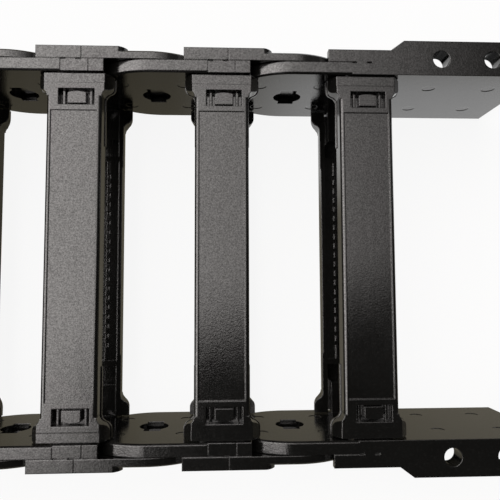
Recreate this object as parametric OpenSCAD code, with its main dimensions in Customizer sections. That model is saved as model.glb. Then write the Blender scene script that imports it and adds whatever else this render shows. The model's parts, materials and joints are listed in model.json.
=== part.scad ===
// Cable drag chain: five hinged links between two end brackets.
// X runs along the chain, Y across it and Z up. The origin is at the middle of the footprint,
// on the surface that the chain lies on. The chain bends by lifting its +X end.

/* [Chain] */
// Distance between two pivots, along the chain
link_pitch = 66; // [65:0.5:80]
// Clear width between the side plates
inner_width = 164; // [100:1:300]
// Height of the side plates
plate_height = 63; // [61:0.5:66]
// Angle that one link turns against the next, from straight to its stop
bend_angle = 30; // [15:1:34]

/* [Side plates] */
// Thickness of each of the two layers that a side plate is cranked between
layer_thickness = 5.65; // [5.2:0.05:7]
// Free space between two layers that turn on each other
layer_gap = 0.3; // [0.2:0.05:0.5]
// Radial space between a round end and the hollow edge of the block beside it
round_gap = 0.6; // [0.4:0.1:1]
// Reach of the outer block from the middle of the link towards the previous link
outer_block_reach = 17.2; // [14:0.1:18]
// Reach of the inner block from the middle of the link towards the next link
inner_block_reach = 13; // [11:0.5:15]
// Reach of the raised pad's flat top from the middle of the link towards the next link
pad_reach = 19.4; // [16:0.1:22]
// Run of the slope that ends the raised pad
pad_slope_run = 7.1; // [4:0.1:8]
// Drop of the slope that ends the raised pad
pad_slope_drop = 3; // [1.5:0.1:4]
// Depth of the round outer end's face below the raised pad
pad_step = 1.8; // [1:0.1:2]
// Bevel along the edges of the round ends
plate_bevel = 0.8; // [0.4:0.1:1]
// Depth of the fine grooves that the mould's joints leave
mould_line_depth = 0.2; // [0.1:0.05:0.4]
// Width of those grooves
mould_line_width = 0.3; // [0.2:0.05:0.5]

/* [Pivots] */
// Diameter of the moulded hinge pin
pin_diameter = 13.8; // [12:0.1:16]
// Radial running clearance between the pin and its bore
pin_clearance = 0.08; // [0.05:0.01:0.1]
// Length of the pin inside its bore
pin_length = 3.1; // [2.5:0.1:5]
// Diameter of the hollow that cores the pin out from outside
pin_core_diameter = 9; // [6:0.5:10]
// Thickness left at the end of the cored pin
pin_end_wall = 1.6; // [1.2:0.1:2.4]

/* [Stops] */
// Inner radius of the stop lugs and of their tracks
stop_inner_radius = 16.5; // [15:0.5:18]
// Outer radius of the stop lugs
stop_outer_radius = 22.5; // [20:0.5:24]
// Height of the stop lugs over the gap between the layers
stop_height = 1.5; // [1:0.1:1.8]
// Angle that one stop lug covers
stop_span = 30; // [20:1:40]
// Free space round a stop lug in its track
stop_clearance = 0.3; // [0.2:0.05:0.4]

/* [Crossbars] */
// Width of a crossbar between its feet
bar_width = 24.3; // [22:0.1:28]
// Thickness of a crossbar
bar_thickness = 9; // [8.5:0.1:11]
// Depth of the crossbars' outer faces below the edges of the side plates
bar_inset = 1; // [0.5:0.1:2]
// Free space between a crossbar's end and the side plate
bar_end_gap = 0.6; // [0.2:0.1:1]
// Radius of a crossbar's long outer edges
bar_edge_radius = 1.6; // [0.8:0.1:2]
// Full width of a crossbar's foot
foot_width = 33.4; // [30:0.1:36]
// Width of the flat top of a foot
foot_top_width = 26.6; // [25:0.1:29]
// Length of the widest part of a foot
foot_straight = 4; // [3.5:0.1:6]
// Length of the curve from the foot to the bar's own width
foot_sweep = 6.5; // [5:0.1:8]
// Depth over which the foot's sides slope out to their full width
foot_slope_depth = 5; // [3:0.1:6]
// Length of the lowered strip at the tip of each foot
tip_length = 4.4; // [3:0.1:6]
// Depth of that strip
tip_step = 0.2; // [0.1:0.05:0.4]
// Margin round the shallow panel in a crossbar's outer face
panel_margin = 1.9; // [1:0.1:3]
// Distance from the side plate to the shallow panel
panel_start = 17.6; // [16.5:0.1:24]
// Depth of the shallow panel
panel_depth = 0.5; // [0.2:0.1:0.8]
// Overhang of the lip along the cable side of a crossbar
lip_overhang = 0.45; // [0.2:0.05:0.8]
// Thickness of that lip
lip_thickness = 1.2; // [0.8:0.1:2]

/* [Divider rail] */
// Width of the slot along the cable side of a crossbar
rail_slot_width = 7.8; // [6:0.1:9]
// Depth of that slot
rail_slot_depth = 4.5; // [3:0.1:5]
// Width of each of the two notched ridges beside the slot
rail_ridge_width = 1.4; // [1:0.1:2]
// Height of the ridges over the floor beside them
rail_ridge_height = 0.6; // [0.4:0.1:1]
// Distance between two notches
notch_pitch = 5; // [4:0.5:10]
// Width of a notch
notch_width = 1.9; // [1.4:0.1:2.4]
// Depth of a notch
notch_depth = 1.2; // [0.6:0.1:2]

/* [Snap joints] */
// Thickness of a crossbar's outer wall over its end pocket
pocket_wall = 2.2; // [1.8:0.1:3]
// Length of a crossbar's end pocket, from the side plate
pocket_length = 26; // [22:0.5:30]
// Width of a crossbar's end pocket
pocket_width = 19.8; // [19.6:0.1:20.6]
// Offset of the window from the middle of the crossbar
window_offset = 1; // [-1:0.1:1]
// Width of the window, along the chain
window_width = 16; // [14:0.1:16]
// Length of the window, across the chain
window_length = 7.4; // [6:0.1:8]
// Distance from the side plate to the window
window_start = 7.7; // [7:0.1:9]
// Thickness of the lug that enters the pocket
lug_thickness = 5.3; // [4:0.1:6]
// Margin of the lug round the window
lug_margin = 0.7; // [0.3:0.1:0.8]
// Width of the latch tongue that stands in the window
tongue_width = 8.2; // [7:0.1:9]
// Space between the latch tongue and the window, across the chain
tongue_gap = 0.9; // [0.5:0.1:1.2]
// Depth of the latch tongue's top below the crossbar's outer face
tongue_depth = 0.7; // [0.3:0.1:1.2]
// Depth of the hollow round the latch tongue
lug_pit_depth = 2.4; // [1.5:0.1:3]
// Width of the thin ribs on both sides of the latch tongue
lug_rib_width = 1.1; // [0.8:0.1:1.4]
// Distance from the middle of the window to each rib
lug_rib_offset = 6; // [5.6:0.1:6.4]

/* [End brackets] */
// Distance from the last crossbar's middle to the end of the bracket
bracket_length = 82; // [78:0.5:100]
// Width of the bracket flanges
flange_width = 16.2; // [15:0.1:20]
// Thickness of the bracket flanges
flange_thickness = 9; // [6:0.5:12]
// Distance from the crossbar's middle to where the flange starts to widen
flange_start = 11.8; // [10:0.1:13]
// Length over which the flange widens
flange_taper = 6.2; // [4:0.1:8]
// Cut-off at the flange's outer end corner
flange_corner = 2.5; // [1:0.1:4]
// Thickness of the web between the flanges
web_thickness = 3.4; // [2.5:0.1:3.6]
// Diameter of the screw holes
screw_hole_diameter = 8; // [6:0.1:8.2]
// Distance from the crossbar's middle to the first screw hole
first_hole = 35.4; // [32:0.1:40]
// Distance between the two screw holes
hole_spacing = 24.2; // [20:0.1:30]
// Distance from the bracket's inner face to the screw holes
hole_inset = 7.7; // [7.6:0.1:9]

/* [Hidden] */
$fn = 96;
nylon = [0.15, 0.15, 0.15];
link_count = 5;
// Side of the chain that a plate stands on
left = 1;
right = -1;
// Places in the chain: the fixed end, then the links, then the moving end
fixed_end = 0;
moving_end = link_count + 1;
// Cuts run past the faces that they open by this much
over = 1;
half_height = plate_height / 2;
half_pitch = link_pitch / 2;
plate_thickness = 2 * layer_thickness + layer_gap;
outer_layer_start = layer_thickness + layer_gap;
// Radius of the hollow edges that clear the neighbour's round end
hollow_radius = half_height + round_gap;
pin_radius = pin_diameter / 2;
bore_radius = pin_radius + pin_clearance;
pin_tip = outer_layer_start - pin_length;
pin_bevel = 0.5;
// Directions of the stops' middles from the pivot axis: up and down
stop_middles = [90, 270];
pad_top = plate_thickness - pad_step;
// Bevels stop where the plain edge of the block begins
bevel_end = -6.2;
mould_lines_inner = [-6.2, 6.2];
mould_lines_outer = [3];
seam_pits = [[-5, 2.2], [1.8, 2.4]];
seam_pit_depth = 0.9;
bar_end = inner_width / 2 - bar_end_gap;
lug_length = window_start + window_length + 1.2;
rail_half = inner_width / 2 - pocket_length - 3;
notch_count = 2 * floor(rail_half / notch_pitch) - 1;
tongue_arch_radius = 1.5 * tongue_width;
ejector_circle = 21;
ejector_angles = [45, 135, 225, 315];
ejector_mark_radius = 3.2;
ejector_mark_depth = 0.2;

block_end = flange_start + flange_taper;

// Place of one body's middle along the chain
function body_x(place) = (place - (link_count + 1) / 2) * link_pitch;

// ---- outlines in X and Z about the pivot axis, and the slabs made from them ----

// Slab of an X-Z outline, between two distances along Y
module slab(y_from, y_to) {
  translate([0, y_to, 0]) rotate([90, 0, 0]) linear_extrude(y_to - y_from) children();
}

// Prism of a Y-Z outline, between two places along X
module prism_x(x_from, x_to) {
  translate([x_from, 0, 0]) rotate([90, 0, 90]) linear_extrude(x_to - x_from) children();
}

// Strip of the plate's full height
module band(x_1, x_2) {
  translate([min(x_1, x_2), -half_height]) square([abs(x_2 - x_1), plate_height]);
}

// Hollow that clears the neighbour's round end
module hollow(x_pivot, y_from, y_to) {
  translate([x_pivot, 0, 0]) slab(y_from, y_to) circle(hollow_radius);
}

// Raised pad on the outer block, with sloped shoulders
module pad_outline(x_root) {
  slope_end = pad_reach + pad_slope_run;
  shoulder = half_height - pad_slope_drop;
  difference() {
    polygon([
      [x_root, half_height], [pad_reach, half_height], [slope_end, shoulder],
      [slope_end, -shoulder], [pad_reach, -half_height], [x_root, -half_height]
    ]);
    translate([half_pitch, 0]) circle(norm([half_pitch - slope_end, shoulder]));
  }
}

// Disc about a pivot axis, bevelled along the edge of its face at y = 0
module bevelled_disc(radius, bevel, thickness) {
  rotate([-90, 0, 0]) rotate_extrude() polygon([
    [0, 0], [radius - bevel, 0], [radius, bevel], [radius, thickness], [0, thickness]
  ]);
}

// Flat layer with a round end; its face at y = 0 is bevelled from the round end to x_bevel
module round_layer(x_pivot, x_bevel, x_root, thickness) {
  translate([x_pivot, 0, 0]) bevelled_disc(half_height, plate_bevel, thickness);
  prism_x(min(x_pivot, x_root), max(x_pivot, x_root)) polygon([
    [0, half_height - plate_bevel], [plate_bevel, half_height], [thickness, half_height],
    [thickness, -half_height], [plate_bevel, -half_height], [0, plate_bevel - half_height]
  ]);
  slab(0, thickness) band(x_bevel, x_root);
}

// ---- stops: two lugs on every inner round end, two tracks in every outer one ----

module ring_sector(r_in, r_out, a_from, a_to) {
  reach = 2 * r_out;
  a_mid = (a_from + a_to) / 2;
  intersection() {
    difference() {
      circle(r_out);
      circle(r_in);
    }
    polygon([
      [0, 0], reach * [cos(a_from), sin(a_from)],
      reach * [cos(a_mid), sin(a_mid)], reach * [cos(a_to), sin(a_to)]
    ]);
  }
}

module stop_lugs() {
  for (middle = stop_middles)
    translate([-half_pitch, 0, 0]) slab(layer_thickness - over, outer_layer_start + stop_height)
      ring_sector(stop_inner_radius, stop_outer_radius, middle - stop_span / 2, middle + stop_span / 2);
}

module stop_tracks() {
  margin = 2 * asin(stop_clearance / stop_inner_radius);
  track_floor = outer_layer_start + stop_height + stop_clearance;
  for (middle = stop_middles)
    translate([half_pitch, 0, 0]) slab(outer_layer_start - over, track_floor)
      ring_sector(stop_inner_radius - stop_clearance, stop_outer_radius + stop_clearance,
        middle - stop_span / 2 - margin, middle + stop_span / 2 + bend_angle + margin);
}

// ---- pivots ----

module bore() {
  translate([-half_pitch, -over, 0]) rotate([-90, 0, 0])
    cylinder(h = layer_thickness + 2 * over, r = bore_radius);
}

module pin() {
  translate([half_pitch, pin_tip, 0]) bevelled_disc(pin_radius, pin_bevel, pin_length + over);
}

module pin_core() {
  translate([half_pitch, pin_tip + pin_end_wall, 0]) rotate([-90, 0, 0])
    cylinder(h = plate_thickness, r = pin_core_diameter / 2);
}

// ---- fine moulding marks ----

// Grooves across the plate's upper and lower edge, between two distances from its inner face
module edge_grooves(places, y_from, y_to) {
  for (x = places, end = [-1, 1])
    translate([x - mould_line_width / 2, y_from, end * half_height - mould_line_depth])
      cube([mould_line_width, y_to - y_from, 2 * mould_line_depth]);
}

// Groove along the joint of the two layers, with a few deeper pits
module seam(x_from, x_to) {
  for (end = [-1, 1]) {
    translate([x_from, layer_thickness, end * half_height - mould_line_depth])
      cube([x_to - x_from, layer_gap, 2 * mould_line_depth]);
    for (pit = seam_pits)
      translate([pit[0] - pit[1] / 2, layer_thickness - layer_gap, end * half_height - seam_pit_depth])
        cube([pit[1], 2 * layer_gap, 2 * seam_pit_depth]);
  }
}

// Shallow round marks of the mould's ejector pins, round a point on the inner face
module ejector_marks(x_middle) {
  for (angle = ejector_angles)
    translate([x_middle + ejector_circle * cos(angle), -over, ejector_circle * sin(angle)])
      rotate([-90, 0, 0]) cylinder(h = over + ejector_mark_depth, r = ejector_mark_radius);
}

// ---- lugs that carry the crossbars ----

// Latch tongue seen from above: straight sides and an arched edge towards the side plate
module tongue_outline(length) {
  intersection() {
    translate([-tongue_width / 2, -length / 2]) square([tongue_width, length]);
    translate([0, length / 2 - tongue_arch_radius]) circle(tongue_arch_radius);
  }
}

// Lug under a crossbar's outer wall; z = 0 is the crossbar's outer face, y = 0 the plate's inner face
module bar_lug() {
  lug_width = window_width + 2 * lug_margin;
  window_y = -window_start - window_length;
  pit_floor = -pocket_wall - lug_pit_depth;
  translate([window_offset, 0, 0]) {
    difference() {
      translate([-lug_width / 2, -lug_length, -pocket_wall - lug_thickness])
        cube([lug_width, lug_length + over, lug_thickness]);
      translate([-window_width / 2, window_y, pit_floor])
        cube([window_width, window_length, lug_pit_depth + over]);
    }
    for (end = [-1, 1])
      translate([end * lug_rib_offset - lug_rib_width / 2, window_y - over, pit_floor - over])
        cube([lug_rib_width, window_length + 2 * over, lug_pit_depth + over]);
    translate([0, window_y + window_length / 2, pit_floor - over])
      linear_extrude(-tongue_depth - pit_floor + over)
        tongue_outline(window_length - 2 * tongue_gap);
  }
}

module bar_lugs() {
  for (end = [0, 1])
    mirror([0, 0, end]) translate([0, 0, half_height - bar_inset]) bar_lug();
}

// ---- side plates: y = 0 is the inner face, z = 0 the pivot axis, x = 0 the crossbars' middle ----

// Layer with the pivot bore, on the cables' side
module inner_layer(x_root) {
  round_layer(-half_pitch, bevel_end, x_root, layer_thickness);
}

// Layer with the hinge pin, outside, and the raised pad on it
module outer_layer(x_root) {
  translate([0, pad_top, 0]) mirror([0, 1, 0])
    round_layer(half_pitch, pad_reach, x_root, pad_top - outer_layer_start);
  slab(pad_top - over, plate_thickness) pad_outline(x_root);
}

// Plate of one link, cranked from the inner layer to the outer one
module link_plate_shape() {
  difference() {
    union() {
      difference() {
        inner_layer(inner_block_reach);
        hollow(half_pitch, -over, layer_thickness + over);
      }
      difference() {
        outer_layer(-outer_block_reach);
        hollow(-half_pitch, outer_layer_start - over, plate_thickness + over);
      }
      difference() {
        slab(layer_thickness - over, outer_layer_start + over)
          band(-outer_block_reach, inner_block_reach);
        hollow(half_pitch, 0, plate_thickness);
        hollow(-half_pitch, 0, plate_thickness);
      }
      stop_lugs();
      pin();
    }
    bore();
    stop_tracks();
    pin_core();
    ejector_marks(-half_pitch);
    edge_grooves(mould_lines_inner, -over, layer_thickness);
    edge_grooves(mould_lines_outer, outer_layer_start, plate_thickness + over);
    seam(-outer_block_reach - over, inner_block_reach + over);
  }
  bar_lugs();
}

// Upper and lower flange and the web between them, reaching towards +X
module bracket_arm() {
  slab(0, web_thickness) band(block_end - over, bracket_length);
  for (end = [0, 1])
    mirror([0, 0, end]) translate([0, 0, half_height - flange_thickness])
      linear_extrude(flange_thickness) polygon([
        [flange_start, 0], [flange_start, plate_thickness], [block_end, flange_width],
        [bracket_length - flange_corner, flange_width],
        [bracket_length, flange_width - flange_corner], [bracket_length, 0]
      ]);
}

module screw_holes() {
  for (x = [first_hole, first_hole + hole_spacing])
    translate([x, hole_inset, -half_height - over])
      cylinder(h = plate_height + 2 * over, d = screw_hole_diameter);
}

// Bracket plate of the moving end: bore towards the links, flanges towards +X
module moving_end_plate_shape() {
  difference() {
    union() {
      inner_layer(block_end);
      difference() {
        slab(layer_thickness - over, plate_thickness) band(-outer_block_reach, block_end);
        hollow(-half_pitch, 0, plate_thickness + over);
      }
      bracket_arm();
      stop_lugs();
    }
    bore();
    screw_holes();
    ejector_marks(-half_pitch);
    ejector_marks((block_end + bracket_length) / 2);
    seam(-outer_block_reach - over, bevel_end);
  }
  bar_lugs();
}

// Bracket plate of the fixed end: pin towards the links, flanges towards -X
module fixed_end_plate_shape() {
  difference() {
    union() {
      difference() {
        slab(0, outer_layer_start + over) band(-block_end, inner_block_reach);
        hollow(half_pitch, -over, outer_layer_start);
      }
      outer_layer(-block_end);
      mirror([1, 0, 0]) bracket_arm();
      pin();
    }
    stop_tracks();
    pin_core();
    mirror([1, 0, 0]) screw_holes();
    ejector_marks(-(block_end + bracket_length) / 2);
    edge_grooves(mould_lines_outer, outer_layer_start, plate_thickness + over);
    seam(bevel_end, inner_block_reach + over);
  }
  bar_lugs();
}

// ---- crossbars: z = 0 is the outer face, y = 0 the middle of the chain ----

// Half of a foot in plan, from the bar's tip at y = 0 inwards: two tangent arcs narrow it to the waist
module half_foot(waist, foot) {
  step = (foot - waist) / 2;
  radius = (step * step + foot_sweep * foot_sweep) / (4 * step);
  heel = [foot / 2 - radius, foot_straight];
  throat = [waist / 2 + radius, foot_straight + foot_sweep];
  difference() {
    union() {
      square([foot / 2, foot_straight]);
      translate(heel) circle(radius);
      polygon([[0, 0], [heel[0], 0], heel, (heel + throat) / 2, throat, [0, throat[1]]]);
    }
    translate(throat) circle(radius);
    translate([0, -radius]) square([foot, radius]);
  }
}

module feet(waist, foot) {
  for (side = [0, 1], end = [0, 1])
    mirror([side, 0]) mirror([0, end]) translate([0, bar_end]) mirror([0, 1]) half_foot(waist, foot);
}

// Section of the bar between its feet, with rounded outer edges
module bar_section() {
  half = bar_width / 2;
  r = bar_edge_radius;
  translate([-half, -bar_thickness]) square([bar_width, bar_thickness - r]);
  translate([r - half, -r - over]) square([bar_width - 2 * r, r + over]);
  for (x = [r - half, half - r]) translate([x, -r]) circle(r);
}

// Section that the feet are cut to: a flat top and sloping sides
module foot_section() {
  top = foot_top_width / 2;
  wide = foot_width / 2;
  polygon([
    [-top, 0], [-wide, -foot_slope_depth], [-wide, -bar_thickness],
    [wide, -bar_thickness], [wide, -foot_slope_depth], [top, 0]
  ]);
}

// Lip along the cable side, round the bar and its feet
module lip() {
  translate([0, 0, -bar_thickness]) linear_extrude(lip_thickness) {
    feet(bar_width + 2 * lip_overhang, foot_width + 2 * lip_overhang);
    translate([-bar_width / 2 - lip_overhang, -bar_end])
      square([bar_width + 2 * lip_overhang, 2 * bar_end]);
  }
}

// Slot for dividers: a lowered floor with two ridges along the slot, notched at even steps
module divider_rail() {
  inner = rail_slot_width / 2;
  outer = inner + rail_ridge_width;
  edge = bar_width / 2 - panel_margin;
  translate([-inner, -rail_half, -bar_thickness - over])
    cube([rail_slot_width, 2 * rail_half, rail_slot_depth + over]);
  for (side = [0, 1])
    mirror([side, 0, 0]) translate([outer, -rail_half, -bar_thickness - over])
      cube([edge - outer, 2 * rail_half, rail_ridge_height + over]);
  for (step = [0 : notch_count - 1])
    translate([-outer - mould_line_width, (step - (notch_count - 1) / 2) * notch_pitch - notch_width / 2,
        -bar_thickness - over])
      cube([2 * (outer + mould_line_width), notch_width, notch_depth + over]);
}

// Hollows of one foot, at the +Y end: the pocket for the lug, the window and the lowered tip
module foot_hollows() {
  inner_face = inner_width / 2;
  translate([-pocket_width / 2, inner_face - pocket_length, -bar_thickness - over])
    cube([pocket_width, pocket_length, bar_thickness - pocket_wall + over]);
  window_y = inner_face - window_start - window_length;
  translate([window_offset - window_width / 2, window_y, -pocket_wall - over])
    cube([window_width, window_length, pocket_wall + 2 * over]);
  translate([-foot_width, inner_face - bar_end_gap - tip_length, -tip_step])
    cube([2 * foot_width, tip_length + over, tip_step + over]);
}

module crossbar_shape() {
  panel = [bar_width - 2 * panel_margin, inner_width - 2 * panel_start];
  difference() {
    union() {
      slab(-bar_end, bar_end) bar_section();
      intersection() {
        translate([0, 0, -bar_thickness]) linear_extrude(bar_thickness) feet(bar_width, foot_width);
        slab(-bar_end, bar_end) foot_section();
      }
      lip();
    }
    translate([-panel[0] / 2, -panel[1] / 2, -panel_depth]) cube([panel[0], panel[1], panel_depth + over]);
    divider_rail();
    for (end = [0, 1]) mirror([0, end, 0]) foot_hollows();
  }
}

// ---- pieces at their places ----

module place_plate(place, side) {
  translate([body_x(place), side * inner_width / 2, half_height])
    mirror([0, side == right ? 1 : 0, 0]) children();
}

module upper_bar(place) {
  color(nylon) translate([body_x(place), 0, plate_height - bar_inset]) crossbar_shape();
}

module lower_bar(place) {
  color(nylon) translate([body_x(place), 0, bar_inset]) mirror([0, 0, 1]) crossbar_shape();
}

module link_plate(place, side) {
  color(nylon) place_plate(place, side) link_plate_shape();
}

module fixed_end_plate(side) {
  color(nylon) place_plate(fixed_end, side) fixed_end_plate_shape();
}

module moving_end_plate(side) {
  color(nylon) place_plate(moving_end, side) moving_end_plate_shape();
}

module fixed_end_left_plate() { fixed_end_plate(left); }
module fixed_end_right_plate() { fixed_end_plate(right); }
module fixed_end_upper_bar() { upper_bar(fixed_end); }
module fixed_end_lower_bar() { lower_bar(fixed_end); }
module link_1_left_plate() { link_plate(1, left); }
module link_1_right_plate() { link_plate(1, right); }
module link_1_upper_bar() { upper_bar(1); }
module link_1_lower_bar() { lower_bar(1); }
module link_2_left_plate() { link_plate(2, left); }
module link_2_right_plate() { link_plate(2, right); }
module link_2_upper_bar() { upper_bar(2); }
module link_2_lower_bar() { lower_bar(2); }
module link_3_left_plate() { link_plate(3, left); }
module link_3_right_plate() { link_plate(3, right); }
module link_3_upper_bar() { upper_bar(3); }
module link_3_lower_bar() { lower_bar(3); }
module link_4_left_plate() { link_plate(4, left); }
module link_4_right_plate() { link_plate(4, right); }
module link_4_upper_bar() { upper_bar(4); }
module link_4_lower_bar() { lower_bar(4); }
module link_5_left_plate() { link_plate(5, left); }
module link_5_right_plate() { link_plate(5, right); }
module link_5_upper_bar() { upper_bar(5); }
module link_5_lower_bar() { lower_bar(5); }
module moving_end_left_plate() { moving_end_plate(left); }
module moving_end_right_plate() { moving_end_plate(right); }
module moving_end_upper_bar() { upper_bar(moving_end); }
module moving_end_lower_bar() { lower_bar(moving_end); }

fixed_end_left_plate();
fixed_end_right_plate();
fixed_end_upper_bar();
fixed_end_lower_bar();
link_1_left_plate();
link_1_right_plate();
link_1_upper_bar();
link_1_lower_bar();
link_2_left_plate();
link_2_right_plate();
link_2_upper_bar();
link_2_lower_bar();
link_3_left_plate();
link_3_right_plate();
link_3_upper_bar();
link_3_lower_bar();
link_4_left_plate();
link_4_right_plate();
link_4_upper_bar();
link_4_lower_bar();
link_5_left_plate();
link_5_right_plate();
link_5_upper_bar();
link_5_lower_bar();
moving_end_left_plate();
moving_end_right_plate();
moving_end_upper_bar();
moving_end_lower_bar();
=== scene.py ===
"""Looks of the cable drag chain: black glass-filled nylon on a white floor, seen from above."""
import json
import math

import bmesh
import bpy
from mathutils import Euler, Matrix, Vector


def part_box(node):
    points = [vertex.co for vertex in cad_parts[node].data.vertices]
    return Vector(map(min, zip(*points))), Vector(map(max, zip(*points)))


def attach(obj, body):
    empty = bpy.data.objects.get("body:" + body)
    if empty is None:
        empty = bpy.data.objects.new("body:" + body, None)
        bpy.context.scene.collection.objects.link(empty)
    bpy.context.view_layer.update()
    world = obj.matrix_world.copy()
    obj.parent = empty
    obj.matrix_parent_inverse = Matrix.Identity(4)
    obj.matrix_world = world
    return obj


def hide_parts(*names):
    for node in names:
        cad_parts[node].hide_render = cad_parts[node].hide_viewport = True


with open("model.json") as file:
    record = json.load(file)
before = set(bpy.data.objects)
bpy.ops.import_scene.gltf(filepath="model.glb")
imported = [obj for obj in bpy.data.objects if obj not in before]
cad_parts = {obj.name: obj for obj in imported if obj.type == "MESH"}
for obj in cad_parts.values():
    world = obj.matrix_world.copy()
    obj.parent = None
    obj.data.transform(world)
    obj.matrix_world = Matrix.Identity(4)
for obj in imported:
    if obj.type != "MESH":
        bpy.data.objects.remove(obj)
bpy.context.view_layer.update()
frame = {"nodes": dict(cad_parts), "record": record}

MM = 0.001
BODIES = frame["record"]["behaviour"]["bodies"]
WHITE = (1.0, 1.0, 1.0)

# ---- camera: above the last links and the moving end, looking almost straight down ----

SENSOR_WIDTH = 36
LENS = 39.54
NEAREST = 0.01
CAMERA_PAST_BAR = 1.5 * MM
CAMERA_BESIDE = -15.8 * MM
CAMERA_OVER_BARS = 243.4 * MM
CAMERA_TURN = (0.0712, -0.0449, -0.0039)


def body_x(body):
    """Place of a body's crossbars along the chain."""
    low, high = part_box(body + "_upper_bar")
    return (low.x + high.x) / 2


def add_camera():
    data = bpy.data.cameras.new("camera")
    data.sensor_width = SENSOR_WIDTH
    data.lens = LENS
    data.clip_start = NEAREST
    camera = bpy.data.objects.new("camera", data)
    bpy.context.scene.collection.objects.link(camera)
    bar_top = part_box("moving_end_upper_bar")[1].z
    camera.location = (body_x("link_5") + CAMERA_PAST_BAR, CAMERA_BESIDE, bar_top + CAMERA_OVER_BARS)
    camera.rotation_euler = Euler(CAMERA_TURN)
    bpy.context.scene.camera = camera


# ---- node trees ----

class Nodes:
    """Short way to build the node tree of a material or of the world."""

    def __init__(self, owner):
        owner.use_nodes = True
        self.tree = owner.node_tree
        self.tree.nodes.clear()

    def add(self, kind, values=None, **settings):
        node = self.tree.nodes.new(kind)
        for key, value in settings.items():
            setattr(node, key, value)
        for key, value in (values or {}).items():
            if isinstance(value, bpy.types.NodeSocket):
                self.tree.links.new(value, node.inputs[key])
            else:
                node.inputs[key].default_value = value
        return node

    def math(self, first, second, how="MULTIPLY"):
        return self.add("ShaderNodeMath", {0: first, 1: second}, operation=how).outputs[0]

    def weighted(self, value, weight, rest):
        """The value times its weight, plus the rest."""
        values = {0: value, 1: weight, 2: rest}
        return self.add("ShaderNodeMath", values, operation="MULTIPLY_ADD").outputs[0]

    def ramp(self, value, ends, levels=(0.0, 1.0), shape="LINEAR"):
        """Levels that the output has where the value is at its two ends, and between them."""
        values = {"Value": value, "From Min": ends[0], "From Max": ends[1],
                  "To Min": levels[0], "To Max": levels[1]}
        return self.add("ShaderNodeMapRange", values, interpolation_type=shape).outputs[0]

    def step(self, value, ends, levels=(0.0, 1.0)):
        return self.ramp(value, ends, levels, "SMOOTHSTEP")

    def noise(self, place, scale, detail, roughness):
        values = {"Vector": place, "Scale": scale, "Detail": detail, "Roughness": roughness}
        return self.add("ShaderNodeTexNoise", values).outputs["Fac"]

    def mix(self, share, low, high):
        """Colour between two, each given as numbers or as an output."""
        values = {"Factor": share}
        for key, colour in ((6, low), (7, high)):
            values[key] = (*colour, 1) if isinstance(colour, tuple) else colour
        return self.add("ShaderNodeMix", values, data_type="RGBA").outputs[2]


# ---- nylon ----

NYLON = (0.0045, 0.0045, 0.0042)
NYLON_ROUGHNESS = 0.07
NYLON_IOR = 1.6
# noises: scale, detail, roughness
GRAIN = (1500.0, 2.0, 0.7)
SPECK = (700.0, 2.0, 0.6)
CLOUD = (45.0, 5.0, 0.6)
STREAK = (160.0, 3.0, 0.6)
STREAK_STRETCH = (1.0, 0.18, 1.0)
NOISE_BAND = (0.3, 0.7)
SPECK_BAND = (0.55, 0.75)
SPECK_SHARE = 0.35
# share of the base colour in its darker and paler clouds, at edges, where it is a painted highlight, and
# in specks
DARKER, PALER, PAINTED_EDGE_HIGHLIGHT, SPECKLED = 0.7, 1.3, 4.5, 3.0
EDGE_RADIUS = 0.6 * MM
EDGE_SAMPLES = 6
# how far a rounded normal leaves the face's own at an edge that has the whole painted highlight, as a
# cosine
EDGE_BAND = (1.0, 0.86)
SMOOTHEST, ROUGHEST, GRAIN_ROUGHNESS = -0.02, 0.04, 0.08
SPARKLE = (0.38, 1.0)
BUMP_STRENGTH = 0.35
BUMP_HEIGHT = 0.1 * MM


def times(colour, factor):
    return tuple(part * factor for part in colour)


def nylon(name):
    """Black glass-filled nylon: fine grain, cloudy gloss, and edges painted paler as a highlight."""
    material = bpy.data.materials.new(name)
    n = Nodes(material)
    place = n.add("ShaderNodeTexCoord").outputs["Object"]
    stretched = n.add("ShaderNodeMapping", {"Vector": place, "Scale": STREAK_STRETCH}).outputs[0]
    grain = n.noise(place, *GRAIN)
    cloud = n.noise(place, *CLOUD)
    streak = n.noise(stretched, *STREAK)

    rounded = n.add("ShaderNodeBevel", {"Radius": EDGE_RADIUS}, samples=EDGE_SAMPLES).outputs[0]
    plain = n.add("ShaderNodeNewGeometry").outputs["Normal"]
    along = n.add("ShaderNodeVectorMath", {0: rounded, 1: plain}, operation="DOT_PRODUCT").outputs["Value"]
    # painted highlight: rounded edges get a paler base colour, patchy with the clouds
    edge_highlight_mask = n.math(n.ramp(along, EDGE_BAND), cloud)

    tone = n.mix(cloud, times(NYLON, DARKER), times(NYLON, PALER))
    with_painted_edge_highlight = n.mix(edge_highlight_mask, tone, times(NYLON, PAINTED_EDGE_HIGHLIGHT))
    specks = n.ramp(n.noise(place, *SPECK), SPECK_BAND, (0.0, SPECK_SHARE))
    colour = n.mix(specks, with_painted_edge_highlight, times(NYLON, SPECKLED))

    gloss = n.ramp(cloud, NOISE_BAND, (NYLON_ROUGHNESS + SMOOTHEST, NYLON_ROUGHNESS + ROUGHEST))
    roughness = n.weighted(grain, GRAIN_ROUGHNESS, gloss)
    sparkle = n.ramp(grain, NOISE_BAND, SPARKLE)
    tint = n.add("ShaderNodeCombineColor", {0: sparkle, 1: sparkle, 2: sparkle}).outputs[0]
    relief = n.math(grain, streak, "ADD")
    bump = n.add("ShaderNodeBump", {"Height": relief, "Strength": BUMP_STRENGTH, "Distance": BUMP_HEIGHT,
                                    "Normal": rounded}).outputs["Normal"]
    shader = n.add("ShaderNodeBsdfPrincipled", {
        "Base Color": colour, "Roughness": roughness, "Specular Tint": tint, "Normal": bump,
        "IOR": NYLON_IOR, "Specular IOR Level": 1.0})
    n.add("ShaderNodeOutputMaterial", {"Surface": shader.outputs[0]})
    return material


# ---- stage: floor and studio light ----

FLOOR_SIZE = 6
FLOOR_GREY = (0.8, 0.8, 0.8, 1)
FLOOR_WHITE_SHARE = 0.9
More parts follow.
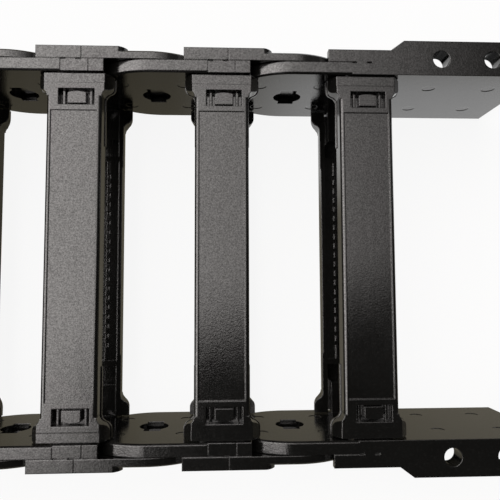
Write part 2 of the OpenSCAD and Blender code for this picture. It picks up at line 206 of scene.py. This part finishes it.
# painted reflection: what gloss shows of the floor, dim brown, and white in the corner past these places
# along and across
FLOOR_PAINTED_DIM_REFLECTION = (0.2, 0.18, 0.13)
PAINTED_BRIGHT_REFLECTION_ALONG = (0.1, 0.2)
PAINTED_BRIGHT_REFLECTION_ACROSS = (0.02, 0.07)

# the lit ceiling, in slopes from the vertical: its front edge, then its lit left side, which reaches
# further to the front, then its fade from left to right
EDGE_TURN = 0.28
EDGE_BACK = 0.068
EDGE_SOFT = 0.02
LEFT_SIDE = (-0.16, -0.27)
LEFT_SIDE_LEVEL = 0.95
LEFT_FRONT = (-0.5, -0.12)
LEFT_FRONT_LEVELS = (0.15, 1.0)
FADE = (-0.5, 0.52)
FADE_LEVELS = (3.7, 0.1)
# sines of the heights at which the ceiling begins and is full, and the level of the dark room
CEILING_FROM = (0.3, 0.5)
ROOM = 0.02
LEAST_HEIGHT = 0.02
LIGHT_COLOUR = (1.0, 0.955, 0.93)


def floor_material():
    """Floor that is white where seen and keeps a share of the shadow; gloss sees a painted reflection on
    it, dim brown but white in one corner.
    """
    material = bpy.data.materials.new("floor")
    n = Nodes(material)
    rays = n.add("ShaderNodeLightPath").outputs
    place = n.add("ShaderNodeTexCoord").outputs["Object"]
    part = n.add("ShaderNodeSeparateXYZ", {0: place}).outputs
    # painted reflection: gloss sees the floor glow dim brown, and white in the corner behind the moving
    # end
    painted_bright_reflection = n.math(n.step(part["Y"], PAINTED_BRIGHT_REFLECTION_ACROSS), n.step(part["X"], PAINTED_BRIGHT_REFLECTION_ALONG))
    colour = n.mix(n.math(painted_bright_reflection, rays["Is Camera Ray"], "MAXIMUM"), FLOOR_PAINTED_DIM_REFLECTION, WHITE)
    mirrored = n.math(rays["Is Glossy Ray"], rays["Is Transmission Ray"], "MAXIMUM")
    seen = n.math(rays["Is Camera Ray"], mirrored, "MAXIMUM")
    share = n.math(seen, FLOOR_WHITE_SHARE)
    plain = n.add("ShaderNodeBsdfDiffuse", {"Color": FLOOR_GREY}).outputs[0]
    white = n.add("ShaderNodeEmission", {"Color": colour, "Strength": 1.0}).outputs[0]
    mix = n.add("ShaderNodeMixShader", {0: share, 1: plain, 2: white}).outputs[0]
    n.add("ShaderNodeOutputMaterial", {"Surface": mix})
    return material


def add_floor():
    bpy.ops.mesh.primitive_plane_add(size=FLOOR_SIZE)
    floor = bpy.context.object
    floor.name = "floor"
    floor.data.materials.append(floor_material())


def light_the_stage():
    """A wide lit ceiling that fades to the right and ends in front of the chain; white where seen."""
    world = bpy.data.worlds.new("studio")
    bpy.context.scene.world = world
    n = Nodes(world)
    way = n.add("ShaderNodeTexCoord").outputs["Generated"]
    part = n.add("ShaderNodeSeparateXYZ", {0: way}).outputs
    height = n.math(part["Z"], LEAST_HEIGHT, "MAXIMUM")
    across = n.math(part["X"], height, "DIVIDE")
    front = n.math(part["Y"], height, "DIVIDE")
    from_edge = n.weighted(across, -EDGE_TURN, n.math(front, EDGE_BACK, "ADD"))
    ceiling = n.step(from_edge, (-EDGE_SOFT, EDGE_SOFT))
    left = n.math(n.step(across, LEFT_SIDE, (0.0, LEFT_SIDE_LEVEL)),
                  n.step(front, LEFT_FRONT, LEFT_FRONT_LEVELS))
    lit = n.math(ceiling, left, "MAXIMUM")
    glow = n.math(n.math(lit, n.ramp(across, FADE, FADE_LEVELS)), n.step(part["Z"], CEILING_FROM))
    level = n.math(glow, ROOM, "ADD")
    seen = n.add("ShaderNodeLightPath").outputs["Is Camera Ray"]
    strength = n.add("ShaderNodeMix", {0: seen, 2: level, 3: 1.0}, data_type="FLOAT").outputs[0]
    sky = n.add("ShaderNodeBackground", {"Color": n.mix(seen, LIGHT_COLOUR, WHITE), "Strength": strength})
    n.add("ShaderNodeOutputWorld", {"Surface": sky.outputs[0]})


# ---- the chain: each piece is its CAD node with a few more cuts, in millimetres in the row frame ----

INNER_FACE = 82.0
HALF_PITCH = 33.0
HALF_HEIGHT = 31.5
HALF_BAR = 12.15
# heights between which each bar's lip lies, and the distance across at which it begins
LIP = {"upper": (52.5, 54.4), "lower": (8.6, 10.5)}
LIP_KEPT_FROM = 50.0
KEYWAY_HALF = 4.0
KEYWAY_REACH = 9.3
INNER_LAYER = 5.65
# distances of the raised pad's two faces from the plate's inner face, and the shape of its end
PAD_FACES = (9.82, 12.5)
PAD_CREASE = 19.4
PAD_CORNER = 6.0
PAD_CREASE_ANGLE = math.radians(20)
PAD_ARC_STEPS = 10
SMOOTH_UP_TO = math.radians(20)
# cuts run past the faces that they open by the first, and stop short of flush faces by the second
PAST = 2.0
SLIVER = 0.02
WELD = SLIVER * MM / 10


def prism(mesh, outline, y_from, y_to):
    """Add the prism of an outline in X and Z, between two distances along Y."""
    near = [mesh.verts.new((x * MM, y_from * MM, z * MM)) for x, z in outline]
    far = [mesh.verts.new((x * MM, y_to * MM, z * MM)) for x, z in outline]
    mesh.faces.new(near)
    mesh.faces.new(far[::-1])
    for i in range(len(outline)):
        j = (i + 1) % len(outline)
        mesh.faces.new((near[j], near[i], far[i], far[j]))


def box_outline(x_from, x_to, z_from, z_to):
    return [(x_from, z_from), (x_to, z_from), (x_to, z_to), (x_from, z_to)]


def cut_lips(mesh, x_bar, level):
    """The lip along a crossbar's cable side is kept near the feet alone."""
    for side in (-1, 1):
        edges = sorted((x_bar + side * (HALF_BAR + SLIVER), x_bar + side * (HALF_BAR + PAST)))
        prism(mesh, box_outline(*edges, *LIP[level]), -LIP_KEPT_FROM, LIP_KEPT_FROM)


def cut_keyways(mesh, x_pivot, side):
    """Keyways above and below a bore, through the plate's inner layer."""
    outline = box_outline(x_pivot - KEYWAY_HALF, x_pivot + KEYWAY_HALF,
                          HALF_HEIGHT - KEYWAY_REACH, HALF_HEIGHT + KEYWAY_REACH)
    prism(mesh, outline, side * (INNER_FACE - PAST), side * (INNER_FACE + INNER_LAYER + SLIVER))


def cut_pad_ends(mesh, x_bar, side):
    """The raised pad ends in a round corner above and below."""
    x_corner = x_bar + PAD_CREASE - PAD_CORNER * math.sin(PAD_CREASE_ANGLE)
    z_corner = HALF_HEIGHT - PAD_CORNER * math.cos(PAD_CREASE_ANGLE)
    x_far = x_corner + PAD_CORNER + 3 * PAST
    z_far = HALF_HEIGHT + PAST
    arc = []
    for i in range(PAD_ARC_STEPS + 1):
        turn = PAD_CREASE_ANGLE + (math.pi / 2 - PAD_CREASE_ANGLE) * i / PAD_ARC_STEPS
        arc.append((x_corner + PAD_CORNER * math.sin(turn), z_corner + PAD_CORNER * math.cos(turn)))
    painted_bright_reflection = arc + [(x_far, z_corner), (x_far, z_far), (arc[0][0], z_far)]
    for end in (-1, 1):
        outline = [(x, HALF_HEIGHT + end * z) for x, z in painted_bright_reflection]
        prism(mesh, outline, side * (INNER_FACE + PAD_FACES[0]), side * (INNER_FACE + PAD_FACES[1]))


def cutter_for(name, body):
    """All that is cut from one piece, as one object."""
    mesh = bmesh.new()
    x_bar = body_x(body) / MM
    if name.endswith("_bar"):
        cut_lips(mesh, x_bar, "upper" if "_upper_" in name else "lower")
    else:
        side = 1 if "_left_" in name else -1
        if body != "fixed_end":
            cut_keyways(mesh, x_bar - HALF_PITCH, side)
        if body != "moving_end":
            cut_pad_ends(mesh, x_bar, side)
    bmesh.ops.recalc_face_normals(mesh, faces=mesh.faces)
    data = bpy.data.meshes.new(name + "_cuts")
    mesh.to_mesh(data)
    mesh.free()
    cutter = bpy.data.objects.new(name + "_cuts", data)
    bpy.context.scene.collection.objects.link(cutter)
    return cutter


def cut_shape(piece, cutter):
    """The piece's mesh less the cutter."""
    cut = piece.modifiers.new("cuts", "BOOLEAN")
    cut.operation = "DIFFERENCE"
    cut.solver = "EXACT"
    cut.object = cutter
    bpy.context.view_layer.update()
    graph = bpy.context.evaluated_depsgraph_get()
    shape = bpy.data.meshes.new_from_object(piece.evaluated_get(graph))
    piece.modifiers.clear()
    bpy.data.objects.remove(cutter)
    return shape


def smooth(shape):
    """Weld the mesh and shade it smooth, with sharp edges where its faces turn."""
    for stale in ("custom_normal", "sharp_edge", "sharp_face"):
        if stale in shape.attributes:
            shape.attributes.remove(shape.attributes[stale])
    weld = bmesh.new()
    weld.from_mesh(shape)
    bmesh.ops.remove_doubles(weld, verts=weld.verts, dist=WELD)
    weld.to_mesh(shape)
    weld.free()
    shape.polygons.foreach_set("use_smooth", [True] * len(shape.polygons))
    shape.set_sharp_from_angle(angle=SMOOTH_UP_TO)


def finish_piece(name, body, material):
    """Copy of a CAD node with its cuts, on the node's body and in its place."""
    node = frame["nodes"][name]
    piece = bpy.data.objects.new(name + "_finished", node.data.copy())
    bpy.context.scene.collection.objects.link(piece)
    piece.matrix_world = node.matrix_world.copy()
    piece.data = cut_shape(piece, cutter_for(name, body))
    smooth(piece.data)
    piece.data.materials.clear()
    piece.data.materials.append(material)
    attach(piece, body)
    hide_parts(name)


def finish_chain():
    plate = nylon("nylon_plate")
    bar = nylon("nylon_bar")
    for body, names in BODIES.items():
        for name in names:
            if name.endswith("_plate"):
                finish_piece(name, body, plate)
            else:
                finish_piece(name, body, bar)


add_camera()
add_floor()
light_the_stage()
finish_chain()
bpy.context.scene.view_settings.view_transform = "Standard"
